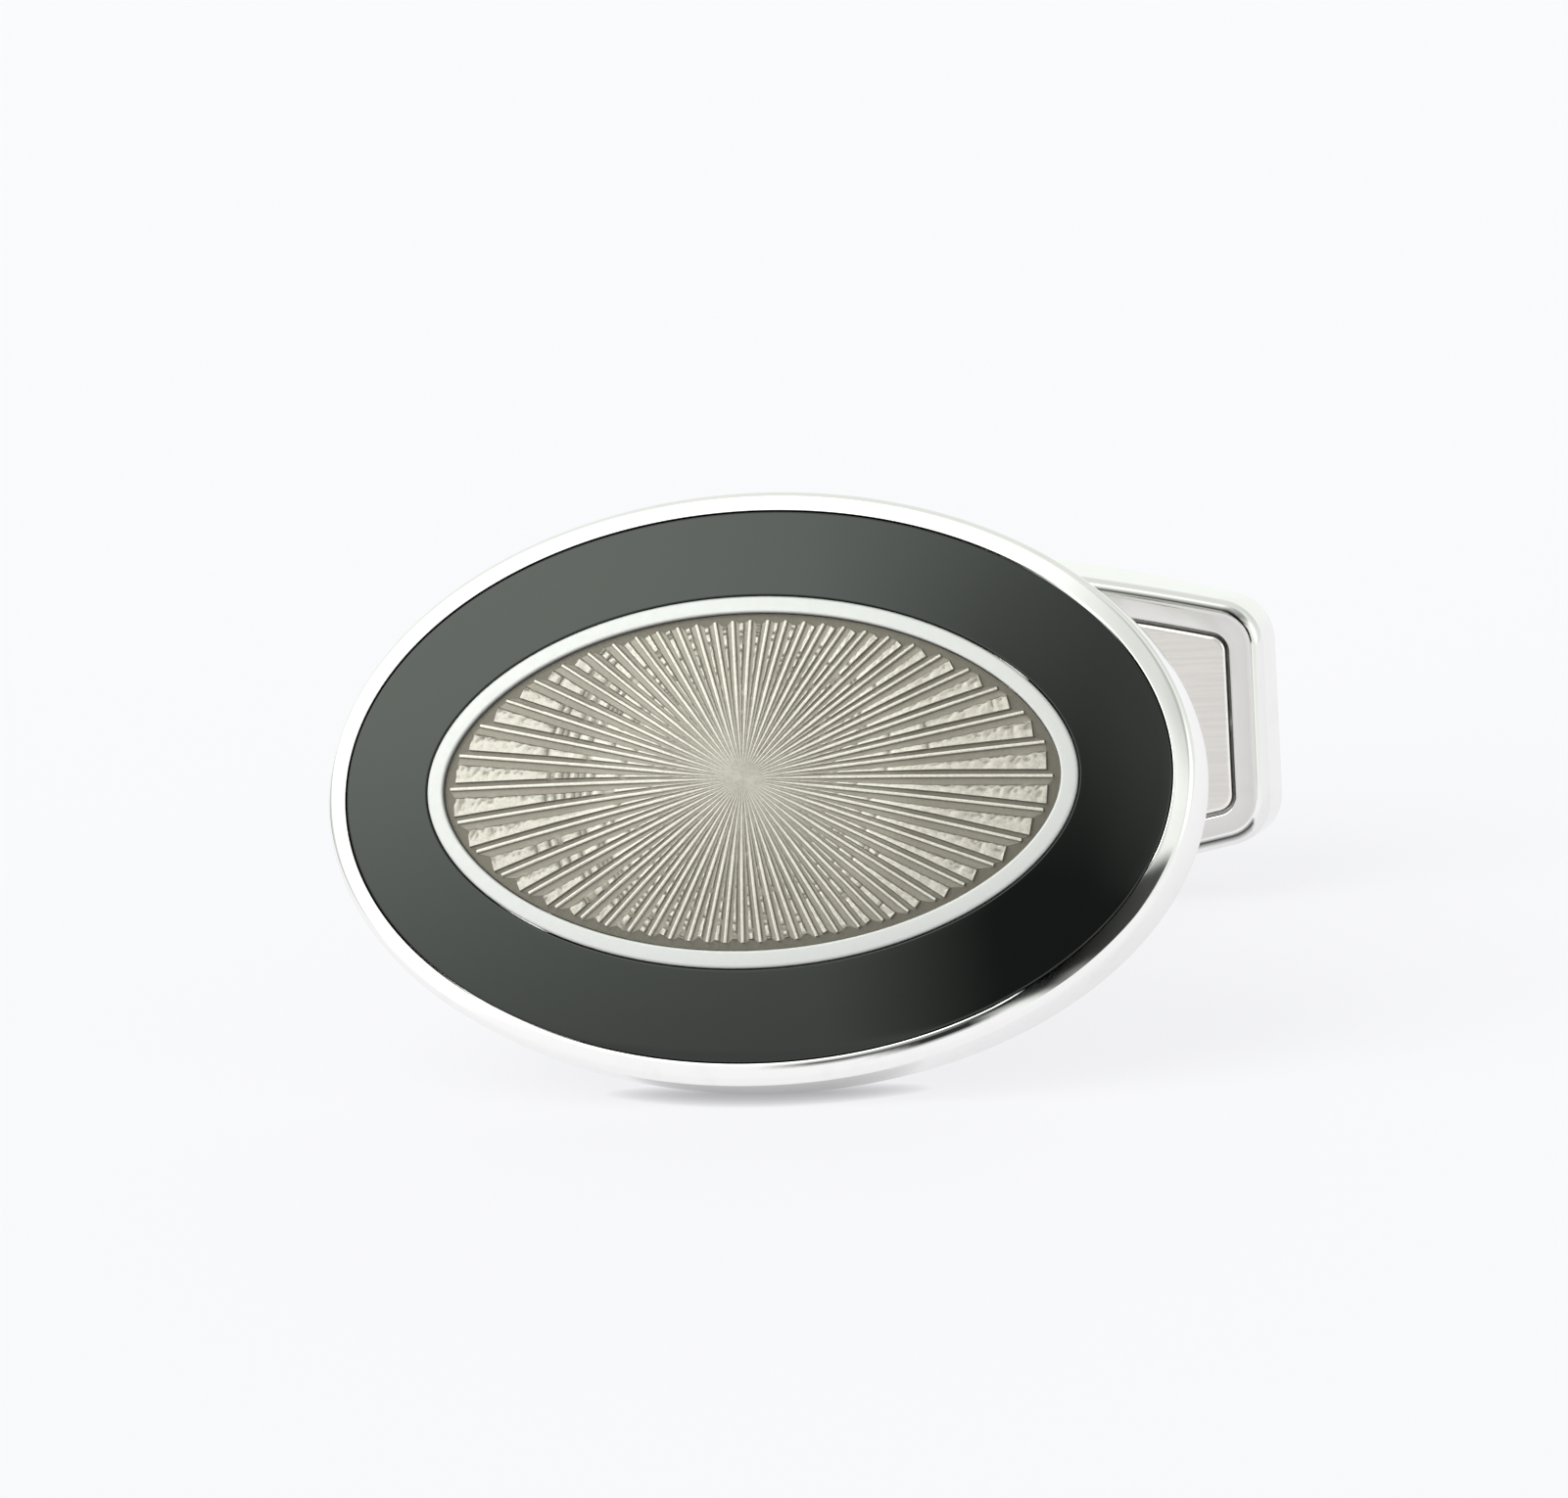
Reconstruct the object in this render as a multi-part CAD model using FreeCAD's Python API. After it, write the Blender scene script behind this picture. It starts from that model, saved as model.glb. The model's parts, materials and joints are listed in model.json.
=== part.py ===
import FreeCAD, Part
import math
import os

# Oval cufflink with a swivel toggle, standing as it is laid on a table: it rests on the lower edge
# of its head and on the lower edge of its toggle, with the face leaning back. Lengths are millimetres.

# Head: outline of the case, and the crown of its face
head_width = 20.0
head_height = 13.4
case_depth = 1.8            # back plane to the front edge of the rim
face_rise = 1.1             # crown of the face above the front edge of the rim
case_floor = 1.0            # metal between the back plane and the tray that holds the inlays
case_back_round = 0.5       # rounding of the case's back edge, which the head stands on

# Head: widths of the bands of the face, from the edge inwards
rim_width = 0.47
enamel_width = 2.05
ring_width = 0.38
border_width = 0.16         # sunk border of the sunburst plate
seam_gap = 0.02             # solder or enamel seam round an inlay
enamel_sink = 0.02          # enamel below the crown of the face
ring_stand = 0.03           # ring above the crown of the face
plate_sink = 0.01           # sunburst below the crown of the face
border_depth = 0.09         # border below the sunburst

# Post: pad soldered on the back of the head, and the slanted stem with the eye for the pivot
pad_length = 8.4
pad_height = 6.4
pad_thickness = 0.8
pad_edge_round = 0.3
post_length = 15.0          # back of the head to the pivot, along the stem
post_slant_deg = 16.5       # stem leans up from square to the back of the head
stem_thickness = 1.8        # along the toggle; the eye is a square of this size
stem_width = 2.6            # along the pivot pin
stem_edge_round = 0.12
cam_corner_round = 0.35     # rounded corners of the square eye, which the spring rides over

# Pivot
pin_diameter = 1.0
pin_running_gap = 0.03      # pin in the stem's eye, radial
pin_sink = 0.06             # pin ends below the sides of the toggle
stem_side_gap = 0.1         # stem to each side of its slot
cam_gap = 0.1               # swept corner of the eye to the parts round it

# Toggle: outline, seen along the post, and rounding
toggle_length = 16.4
toggle_mid_width = 7.8
toggle_end_width = 5.4
toggle_end_thickness = 1.8  # the far face is bowed, so the toggle thins towards its ends
crown_radius = 21.8         # bulge of each long side at the middle
crown_half_deg = 9.0        # each way that the bulge runs before the flatter flank takes over
toggle_corner_round = 1.1
toggle_edge_round = 0.3

# Toggle: shell, cover and spring, in layers from the face next to the head to the far face
frame_width = 0.79          # shell's frame round the cover, at the face
groove_width = 0.07         # open groove between frame and cover
groove_depth = 0.55
cover_corner_round = 0.4
cover_edge_round = 0.1
frame_edge_round = 0.06     # frame's edge along the groove
pin_roof = 0.25             # metal over the pin, under the groove
spring_gap = 0.02           # spring to the flat of the eye
spring_thickness = 0.25
spring_width = 2.2
spring_spare = 0.1          # room left under the spring when the eye's corner presses on it
spring_tip_lap = 0.2        # spring past the eye, on the slot's side
spring_seat_length = 1.2    # clamped end of the spring
spring_reach = 4.4          # pivot to the clamped end's edge
far_wall = 0.6              # shell behind the spring, at the pivot

# Working allowances
overrun = 1.0               # cutters past the faces that they cut
match = 0.01                # places nearer than this count as one
oval_steps = 48             # points through which a parallel of the oval is drawn


X_AXIS = FreeCAD.Vector(1, 0, 0)
Y_AXIS = FreeCAD.Vector(0, 1, 0)
Z_AXIS = FreeCAD.Vector(0, 0, 1)
HOME = FreeCAD.Vector(0, 0, 0)

# The head's frame: x along the long axis of the oval, y up the face, z out of the face, and the
# centre of the case's back plane at zero. Insets are measured inwards from the outline of the case.
half_width = head_width / 2
half_height = head_height / 2
crown = case_depth + face_rise
long_curve = (half_width**2 + face_rise**2) / (2 * face_rise)
short_curve = (half_height**2 + face_rise**2) / (2 * face_rise)
ring_inset = rim_width + enamel_width
plate_inset = ring_inset + ring_width + seam_gap

# The toggle's frame: x along the toggle, y along the pivot pin, z towards the head, and the pivot
# at zero. Layers are worked out from the pivot outwards.
slant = math.radians(post_slant_deg)
pin_radius = pin_diameter / 2
eye_half = stem_thickness / 2
eye_sweep = math.sqrt(2) * (eye_half - cam_corner_round) + cam_corner_round
slot_half = stem_width / 2 + stem_side_gap
slot_end = eye_sweep + cam_gap
groove_floor = pin_radius + pin_roof
near_face = groove_floor + groove_depth
spring_top = -eye_half - spring_gap
spring_bottom = spring_top - spring_thickness
chamber_floor = -eye_sweep - spring_thickness - spring_spare
far_face = chamber_floor - far_wall
spring_seat = spring_reach - spring_seat_length


def box(x, y, z):
    """Box between the two ends given for each direction."""
    size = [high - low for low, high in (x, y, z)]
    return Part.makeBox(*size, FreeCAD.Vector(x[0], y[0], z[0]))


def edges_at(shape, height):
    """Edges of a shape that lie wholly at one height."""
    found = []
    for edge in shape.Edges:
        low = edge.BoundBox.ZMin
        high = edge.BoundBox.ZMax
        if abs(low - height) < match and abs(high - height) < match:
            found.append(edge)
    return found


def upright_edges(shape):
    """Straight edges of a shape that run along z, where two walls meet at a corner."""
    found = []
    for edge in shape.Edges:
        if edge.BoundBox.ZLength > edge.BoundBox.XLength + edge.BoundBox.YLength:
            found.append(edge)
    return found


def oval_prism(inset, bottom):
    """Upright prism inside the case's outline, from a height to well over the crown."""
    points = []
    for step in range(oval_steps):
        turn = 2 * math.pi * step / oval_steps
        across = half_height * math.cos(turn)
        along = half_width * math.sin(turn)
        square = math.hypot(across, along)
        x = half_width * math.cos(turn) - inset * across / square
        y = half_height * math.sin(turn) - inset * along / square
        points.append(FreeCAD.Vector(x, y, bottom))
    curve = Part.BSplineCurve()
    curve.interpolate(points, PeriodicFlag=True)
    face = Part.Face(Part.Wire(curve.toShape()))
    return face.extrude(Z_AXIS * (crown + overrun - bottom))


def under_crown(sink):
    """Solid under the crowned face: an arc across the head, turned about an axis far behind it."""
    radius = short_curve - sink
    reach = half_height + overrun
    low = -overrun
    centre = crown - short_curve
    side = centre + math.sqrt(radius**2 - reach**2)
    left = FreeCAD.Vector(0, -reach, side)
    top = FreeCAD.Vector(0, 0, centre + radius)
    right = FreeCAD.Vector(0, reach, side)
    right_foot = FreeCAD.Vector(0, reach, low)
    left_foot = FreeCAD.Vector(0, -reach, low)
    edges = [
        Part.Arc(left, top, right).toShape(),
        Part.makeLine(right, right_foot),
        Part.makeLine(right_foot, left_foot),
        Part.makeLine(left_foot, left),
    ]
    section = Part.Face(Part.Wire(edges))
    axis_point = FreeCAD.Vector(0, 0, crown - long_curve)
    half_turn = math.degrees(math.asin((half_width + overrun) / (long_curve - crown)))
    section.rotate(axis_point, Y_AXIS, -half_turn)
    return section.revolve(axis_point, Y_AXIS, 2 * half_turn)


def inlay(outer_inset, inner_inset, sink):
    """Oval band that sits on the tray and is crowned with the face."""
    band = oval_prism(outer_inset, case_floor)
    band = band.cut(oval_prism(inner_inset, case_floor))
    return band.common(under_crown(sink))


def head_case():
    """Oval case: plain back, rounded back edge, and a raised rim round the tray for the inlays."""
    case = oval_prism(0, 0).common(under_crown(0))
    case = case.makeFillet(case_back_round, edges_at(case, 0))
    return case.cut(oval_prism(rim_width, case_floor))


def enamel_band():
    """Black enamel between the rim and the ring."""
    return inlay(rim_width + seam_gap, ring_inset - seam_gap, enamel_sink)


def inner_ring():
    """Polished ring that parts the enamel from the sunburst."""
    return inlay(ring_inset, ring_inset + ring_width, -ring_stand)


def sunburst_plate():
    """Struck plate of the sunburst, with a sunk border along the ring."""
    step = oval_prism(plate_inset, case_floor).common(under_crown(plate_sink + border_depth))
    middle = oval_prism(plate_inset + border_width, case_floor).common(under_crown(plate_sink))
    return step.fuse(middle).removeSplitter()


def stem_bar(gap):
    """Bar of the stem, in the toggle's frame, from its eye to past the back of the head."""
    half = eye_half + gap
    wide = stem_width / 2 + gap
    top = post_length + wide * math.tan(slant) + overrun
    bar = box((-half, half), (-wide, wide), (-half, top))
    rounds = []
    for edge in bar.Edges:
        if edge.BoundBox.YLength > edge.BoundBox.XLength and edge.BoundBox.ZMax < 0:
            rounds.append(edge)
    bar = bar.makeFillet(cam_corner_round + gap, rounds)
    sides = []
    for edge in bar.Edges:
        middle = edge.BoundBox.Center
        at_side = abs(abs(middle.y) - wide) < match and edge.BoundBox.YLength < match
        if at_side and edge.BoundBox.ZMin < top - match:
            sides.append(edge)
    return bar.makeFillet(stem_edge_round + gap, sides)


def to_head(shape):
    """Carry a shape from the toggle's frame to the head's frame."""
    turn = FreeCAD.Rotation(X_AXIS, post_slant_deg)
    pivot = FreeCAD.Vector(0, post_length * math.sin(slant), -post_length * math.cos(slant))
    return shape.transformed(FreeCAD.Placement(pivot, turn).toMatrix(), True)


def behind_head():
    """Space behind the back plane of the head, as far as the stem goes."""
    span = post_length + head_width
    return box((-span, span), (-span, span), (-span, 0))


def stem():
    """Slanted post: a flat bar from the back of the head to its square eye round the pivot pin."""
    eye = Part.makeCylinder(pin_radius + pin_running_gap, stem_width + 2 * overrun,
                            FreeCAD.Vector(0, -stem_width / 2 - overrun, 0), Y_AXIS)
    return to_head(stem_bar(0).cut(eye)).common(behind_head())


def post_pad():
    """Oval pad soldered on the back of the head, pierced at a slant for the stem."""
    ring = Part.Wire(Part.Ellipse(HOME, pad_length / 2, pad_height / 2).toShape())
    pad = Part.Face(ring).extrude(Z_AXIS * -pad_thickness)
    pad = pad.makeFillet(pad_edge_round, edges_at(pad, -pad_thickness))
    return pad.cut(to_head(stem_bar(seam_gap)))


def toggle_outline(height):
    """Outline of the toggle: square ends, and long sides that bulge in the middle."""
    half_length = toggle_length / 2
    mid = toggle_mid_width / 2
    end = toggle_end_width / 2
    turn = math.radians(crown_half_deg)
    crown_x = crown_radius * math.sin(turn)
    crown_y = mid - crown_radius * (1 - math.cos(turn))
    # the flank leaves the bulge along its tangent and ends at the corner
    run = half_length - crown_x
    drop = crown_y - end
    bend = math.atan2(drop, run) - turn
    bow = math.tan(bend / 2) / 2
    flank_x = crown_x + run / 2 + bow * drop
    flank_y = crown_y - drop / 2 + bow * run

    def point(x, y):
        return FreeCAD.Vector(x, y, height)

    edges = []
    for side in (1, -1):
        corner = point(side * half_length, side * end)
        flank = point(side * flank_x, side * flank_y)
        shoulder = point(side * crown_x, side * crown_y)
        middle = point(0, side * mid)
        far_shoulder = point(-side * crown_x, side * crown_y)
        far_flank = point(-side * flank_x, side * flank_y)
        far_corner = point(-side * half_length, side * end)
        edges.append(Part.Arc(corner, flank, shoulder).toShape())
        edges.append(Part.Arc(shoulder, middle, far_shoulder).toShape())
        edges.append(Part.Arc(far_shoulder, far_flank, far_corner).toShape())
        edges.append(Part.makeLine(far_corner, point(-side * half_length, -side * end)))
    return Part.Wire(edges)


def toggle_prism(inset, bottom, top, corner_round):
    """Prism inside the toggle's outline, with its four corners rounded."""
    outline = toggle_outline(bottom)
    if inset:
        outline = outline.makeOffset2D(-inset)
    prism = Part.Face(outline).extrude(Z_AXIS * (top - bottom))
    corners = []
    for edge in upright_edges(prism):
        if abs(edge.BoundBox.Center.x) > toggle_length / 2 - inset - match:
            corners.append(edge)
    return prism.makeFillet(corner_round, corners)


def stem_slot():
    """Slot in which the stem swings, open at the face and at the end that meets the stem."""
    end = toggle_length / 2 + overrun
    return box((-end, slot_end), (-slot_half, slot_half), (-eye_half - cam_gap, near_face + overrun))


def toggle_shell():
    """Shell of the toggle, with the recess of the cover, the stem's slot and the spring's chamber."""
    shell = toggle_prism(0, far_face - overrun, near_face, toggle_corner_round)
    bow_rise = near_face - toggle_end_thickness - far_face
    bow_radius = ((toggle_length / 2)**2 + bow_rise**2) / (2 * bow_rise)
    bow = Part.makeCylinder(bow_radius, 2 * toggle_mid_width,
                            FreeCAD.Vector(0, -toggle_mid_width, far_face + bow_radius), Y_AXIS)
    shell = shell.common(bow)
    walls = upright_edges(shell)
    rims = [edge for edge in shell.Edges if not any(edge.isSame(wall) for wall in walls)]
    shell = shell.makeFillet(toggle_edge_round, rims)
    recess_round = cover_corner_round + groove_width
    recess = toggle_prism(frame_width, groove_floor, near_face + overrun, recess_round)
    shell = shell.cut(recess)
    lips = [edge for edge in edges_at(shell, near_face) if edge.distToShape(recess)[0] < match]
    shell = shell.makeFillet(frame_edge_round, lips)
    shell = shell.cut(stem_slot())
    wide = (-slot_half, slot_half)
    shell = shell.cut(box((-slot_end, spring_seat), wide, (chamber_floor, groove_floor + overrun)))
    shell = shell.cut(box((spring_seat, spring_reach + cam_gap), wide,
                          (spring_bottom, groove_floor + overrun)))
    bore_start = FreeCAD.Vector(0, -toggle_mid_width / 2, 0)
    return shell.cut(Part.makeCylinder(pin_radius, toggle_mid_width, bore_start, Y_AXIS))


def toggle_cover():
    """Cover set in the shell: a forked plate, with a foot that clamps the end of the spring."""
    cover = toggle_prism(frame_width + groove_width, groove_floor, near_face, cover_corner_round)
    cover = cover.makeFillet(cover_edge_round, edges_at(cover, near_face))
    cover = cover.cut(stem_slot())
    half = spring_width / 2
    foot = box((spring_seat, spring_reach), (-half, half), (spring_top, groove_floor))
    return cover.fuse(foot).removeSplitter()


def detent_spring():
    """Flat leaf spring: one end clamped under the cover, the other pressed on the flat of the eye."""
    half = spring_width / 2
    leaf = box((-eye_half - spring_tip_lap, spring_reach), (-half, half), (spring_bottom, spring_top))
    tips = []
    for edge in upright_edges(leaf):
        if edge.BoundBox.XMax < 0:
            tips.append(edge)
    return leaf.makeFillet(half / 2, tips)


def pivot_pin():
    """Pin pressed through the shell's sides, on which the toggle swivels."""
    half = toggle_mid_width / 2 - pin_sink
    return Part.makeCylinder(pin_radius, 2 * half, FreeCAD.Vector(0, -half, 0), Y_AXIS)


def lean():
    """Angle by which the face leans back when head and toggle both touch the table.

    Both stand on rounded edges, so the table is the common tangent of two circles in the plane
    of symmetry. The toggle may touch with its far or its near edge, whichever comes first."""
    foot_y = case_back_round - half_height
    foot_z = case_back_round
    angles = []
    for edge_z in (far_face + toggle_edge_round, near_face - toggle_edge_round):
        edge_y = toggle_edge_round - toggle_mid_width / 2
        y = edge_y * math.cos(slant) - edge_z * math.sin(slant) + post_length * math.sin(slant)
        z = edge_y * math.sin(slant) + edge_z * math.cos(slant) - post_length * math.cos(slant)
        reach = math.hypot(y - foot_y, z - foot_z)
        tilt = math.atan2(foot_z - z, y - foot_y)
        angles.append(math.acos((toggle_edge_round - case_back_round) / reach) - tilt)
    return min(angles)


nodes = {
    "head_case": head_case(),
    "enamel_band": enamel_band(),
    "inner_ring": inner_ring(),
    "sunburst_plate": sunburst_plate(),
    "post_pad": post_pad(),
    "stem": stem(),
    "pivot_pin": to_head(pivot_pin()),
    "toggle_shell": to_head(toggle_shell()),
    "toggle_cover": to_head(toggle_cover()),
    "detent_spring": to_head(detent_spring()),
}

# The part is stood on the table, with the middle of its box over zero
lean_angle = lean()
stand_turn = FreeCAD.Rotation(X_AXIS, 90 - math.degrees(lean_angle))
turned = FreeCAD.Placement(HOME, stand_turn).toMatrix()
whole = Part.makeCompound([shape.transformed(turned, True) for shape in nodes.values()])
extent = whole.optimalBoundingBox(False, False)
stand_shift = FreeCAD.Vector(-extent.Center.x, -extent.Center.y, -extent.ZMin)
standing = FreeCAD.Placement(stand_shift, stand_turn)

os.makedirs("parts", exist_ok=True)
for name, shape in nodes.items():
    shape.transformed(standing.toMatrix(), True).exportStep("parts/" + name + ".step")
    print(name, "solids", len(shape.Solids), "valid", shape.isValid(), "volume", round(shape.Volume, 3))
print("lean of the face", round(math.degrees(lean_angle), 3), "box", extent)
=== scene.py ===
import json
import math
import random

import bmesh
import bpy
from mathutils import Matrix, Vector


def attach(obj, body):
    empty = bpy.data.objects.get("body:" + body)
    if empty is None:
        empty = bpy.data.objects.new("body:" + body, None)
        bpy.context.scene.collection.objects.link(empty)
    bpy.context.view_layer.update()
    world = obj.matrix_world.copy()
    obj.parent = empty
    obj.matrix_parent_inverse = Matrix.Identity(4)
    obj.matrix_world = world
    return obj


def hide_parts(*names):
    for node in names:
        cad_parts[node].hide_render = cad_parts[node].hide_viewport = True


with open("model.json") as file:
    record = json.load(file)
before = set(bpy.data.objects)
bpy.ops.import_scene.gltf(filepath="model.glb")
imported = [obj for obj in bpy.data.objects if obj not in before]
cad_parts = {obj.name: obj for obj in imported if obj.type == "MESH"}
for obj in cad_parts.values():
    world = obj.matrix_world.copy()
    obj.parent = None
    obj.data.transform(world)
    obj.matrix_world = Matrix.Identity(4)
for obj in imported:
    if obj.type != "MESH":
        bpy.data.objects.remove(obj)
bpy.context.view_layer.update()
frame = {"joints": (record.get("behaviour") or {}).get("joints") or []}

# The camera stands to the right of the face and a little over the table, as in the photograph, tilted by
# a few degrees. Its distance and lens were fitted to the four ovals of the head.
photo_width = 1601
focal_pixels = 10116
camera_azimuth = math.radians(15.635)
camera_elevation = math.radians(12.974)
camera_roll = math.radians(-4.975)
camera_distance = 0.220
camera_aim = Vector((0.00063, -0.00782, 0.00746))
camera_turn = (Matrix.Rotation(camera_azimuth, 3, "Z")
               @ Matrix.Rotation(math.pi / 2 - camera_elevation, 3, "X")
               @ Matrix.Rotation(camera_roll, 3, "Z"))
lens = bpy.data.cameras.new("camera")
lens.sensor_fit = "HORIZONTAL"
lens.lens = focal_pixels / photo_width * lens.sensor_width
lens.clip_start = camera_distance / 100
camera = bpy.data.objects.new("camera", lens)
camera.matrix_world = (Matrix.Translation(camera_aim + camera_turn.col[2] * camera_distance)
                       @ camera_turn.to_4x4())
bpy.context.scene.collection.objects.link(camera)
bpy.context.scene.camera = camera
bpy.context.scene.view_settings.view_transform = "Standard"


# The light is a white tent, brighter where a soft lamp shines on it from the upper left and a small one from
# the right, and a little darker at its back, its top and two shaded parts. It is dark in front,
# behind the camera, and to the right of that low down.
class Shade:
    """A socket among a material's nodes. Sums of such values add Math nodes; node() adds any other."""

    def __init__(self, tree, socket=None):
        self.tree = tree
        self.socket = socket

    def node(self, kind, settings, inputs, output=0):
        made = self.tree.nodes.new("ShaderNode" + kind)
        for name, value in settings.items():
            setattr(made, name, value)
        for name, value in inputs.items():
            if isinstance(value, Shade):
                self.tree.links.new(value.socket, made.inputs[name])
            else:
                made.inputs[name].default_value = value
        return Shade(self.tree, made.outputs[output])

    def math(self, operation, first, second=0.0):
        return self.node("Math", {"operation": operation}, {0: first, 1: second})

    def __add__(self, other):
        return self.math("ADD", self, other)

    def __sub__(self, other):
        return self.math("SUBTRACT", self, other)

    def __rsub__(self, other):
        return self.math("SUBTRACT", other, self)

    def __mul__(self, other):
        return self.math("MULTIPLY", self, other)

    def __truediv__(self, other):
        return self.math("DIVIDE", self, other)

    __radd__ = __add__
    __rmul__ = __mul__

    def ramp(self, low, high, smooth=True):
        """Runs from 0 to 1 while the value goes from low to high, and stays level beyond."""
        return self.node("MapRange", {"interpolation_type": "SMOOTHSTEP" if smooth else "LINEAR"},
                         {"Value": self, "From Min": low, "From Max": high})

    def blend(self, first, second):
        """Colour that goes from the first to the second while the value goes from 0 to 1."""
        return self.node("Mix", {"data_type": "RGBA"}, {0: self, 6: first, 7: second}, 2)

    def into(self, target, name):
        """Feed the value to an input of a node."""
        self.tree.links.new(self.socket, target.inputs[name])


def look(azimuth, elevation):
    """Direction at an azimuth and elevation in degrees, counted as the camera's are."""
    turn, rise = math.radians(azimuth), math.radians(elevation)
    return Vector((math.sin(turn) * math.cos(rise), -math.cos(turn) * math.cos(rise), math.sin(rise)))


tent_tone = (0.965, 1.0, 0.955, 1)
tent_light, tent_fall = 1.03, 0.14
tent_back, tent_top = 0.16, 0.16
lamp_light = 2.05
lamp_side = look(-62, 47)
lamp_core, lamp_reach = math.radians(10), math.radians(70)
lamp_shield = look(-10, 0)
fill_light = 0.6
fill_side = look(64, 20)
fill_core, fill_reach = math.radians(5), math.radians(28)
shield_ramp, side_ramp, top_ramp, front_ramp = (0.05, 0.3), (0.1, 0.6), (0.75, 1.0), (0.0, 0.2)
back_elevation = math.radians(35)
shades = [(look(44, 52), 12, 29, 0.42), (look(-75, -2), 16, 38, 0.65)]
front_dark = (3, 8.3, 0.625, 20, 80, 1)
low_dark, low_dark_depth = (12, 10, 0.1, 17, 20, 4), 0.94
world = bpy.data.worlds.new("tent")
world.use_nodes = True
bpy.context.scene.world = world
tent = Shade(world.node_tree)
sight = tent.node("TexCoord", {}, {}, "Generated")


def towards(direction):
    """How far the sight line points in a direction."""
    return tent.node("VectorMath", {"operation": "DOT_PRODUCT"}, {0: sight, 1: direction}, "Value")


lamp = tent.math("ARCCOSINE", towards(lamp_side)).ramp(lamp_reach, lamp_core)
lamp = lamp * towards(lamp_shield).ramp(*shield_ramp)
fill = tent.math("ARCCOSINE", towards(fill_side)).ramp(fill_reach, fill_core)
tent_rise = tent.math("ARCSINE", towards(look(0, 90)))


def dark_patch(azimuth, half_angle, softness, full, none, foot):
    """A dark upright shape in the tent with soft sides. It starts at the foot's elevation, is full up to
    another, and is gone at a third."""
    aside = tent.math("ABSOLUTE", towards(look(azimuth + 90, 0))) / math.sin(math.radians(half_angle))
    patch = aside.ramp(1 + softness, 1 - softness, smooth=False)
    patch = patch * tent_rise.ramp(math.radians(none), math.radians(full), smooth=False)
    patch = patch * tent_rise.ramp(math.radians(foot - 1), math.radians(foot + 1))
    return patch * towards(look(azimuth, 0)).ramp(*front_ramp)


glow = tent_light - towards(look(90, 0)).ramp(*side_ramp) * tent_fall
glow = glow + lamp * lamp_light + fill * fill_light
glow = glow - towards(look(180, 0)).ramp(*side_ramp) * tent_rise.ramp(0.0, back_elevation) * tent_back
glow = glow - towards(look(0, 90)).ramp(*top_ramp) * tent_top
for side, core, reach, depth in shades:
    shade = tent.math("ARCCOSINE", towards(side)).ramp(math.radians(reach), math.radians(core))
    glow = glow * (1 - shade * depth)
glow = glow * (1 - dark_patch(*front_dark))
glow = glow * (1 - dark_patch(*low_dark) * low_dark_depth)
background = world.node_tree.nodes["Background"]
background.inputs["Color"].default_value = tent_tone
glow.into(background, "Strength")

# The table: a white sheet lit from below as well, as on a light table, so that shadows on it stay faint.
# Close to where the link touches it, its glow is dimmed: a painted contact shadow.
table_size = 1.6
table_front = 0.3
table_tone = (0.17, 0.166, 0.175, 1)
table_glow = (0.745, 0.745, 0.763, 1)
# The painted contact shadow: the glow that the sheet dims to next to the link, and how far from it that
# reaches.
painted_shadow_glow = (0.34, 0.34, 0.348, 1)
painted_shadow_reach = 0.00045


def new_finish(name, settings):
    """A new material, its main shader with some inputs set, and a Shade to build its nodes with."""
    finish = bpy.data.materials.new(name)
    finish.use_nodes = True
    shader = finish.node_tree.nodes["Principled BSDF"]
    for setting, value in settings.items():
        shader.inputs[setting].default_value = value
    return finish, shader, Shade(finish.node_tree)


bpy.ops.object.select_all(action="DESELECT")
bpy.ops.mesh.primitive_plane_add(size=table_size, location=(0, table_size / 2 - table_front, 0))
table = bpy.context.object
table.name = "table"
sheet, shader, paper = new_finish("white_sheet", {
    "Base Color": table_tone, "Emission Strength": 1.0, "Roughness": 0.9, "Specular IOR Level": 0.1})
# Painted contact shadow: the glow dims where the link is near.
painted_shadow = paper.node("AmbientOcclusion", {"samples": 16}, {"Distance": painted_shadow_reach}, "AO")
painted_shadow.blend(painted_shadow_glow, table_glow).into(shader, "Emission Color")
table.data.materials.append(sheet)

# Head case: the oval tray of plated base metal that holds the inlays, pressed in one piece. Its rim is
# polished round the face, its front edge is eased, and its back is plain with a rounded edge. The thin dark
# line on the rim's lower right is a painted dark reflection, and the back is darkened with painted shade
# that clears towards the front. Both are marks on its points, which the finish reads.
half_width, half_height = 10.0, 6.7
case_depth, face_rise = 1.8, 1.1
case_floor = 1.0
case_back_round = 0.5
rim_width = 0.47
rim_front_round = 0.13
rim_lean, rim_bulge = 0.03, 0.012
rim_bands = (0.16, 0.08, 0.07, 0.07, 0.09)
rim_inner_round = 0.035
rim_flush = (math.radians(-53), math.radians(-14))
flush_fade = math.radians(4)
# The rim's thin dark line, a painted dark reflection: where it starts and ends round the oval, and how far
# across the rim it lies.
line_start, line_end, line_fade = math.radians(-50), math.radians(-89), math.radians(8)
line_taper = math.radians(100)
line_inner, line_middle, line_outer = 0.12, 0.19, 0.4
flush_share = 0.5
near_enough = 0.01
# Painted shade on the back of the head, its pad and its stem.
painted_back_shade = 0.1
oval_steps = 256
crown = case_depth + face_rise
long_curve = (half_width**2 + face_rise**2) / (2 * face_rise)
short_curve = (half_height**2 + face_rise**2) / (2 * face_rise)

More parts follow.
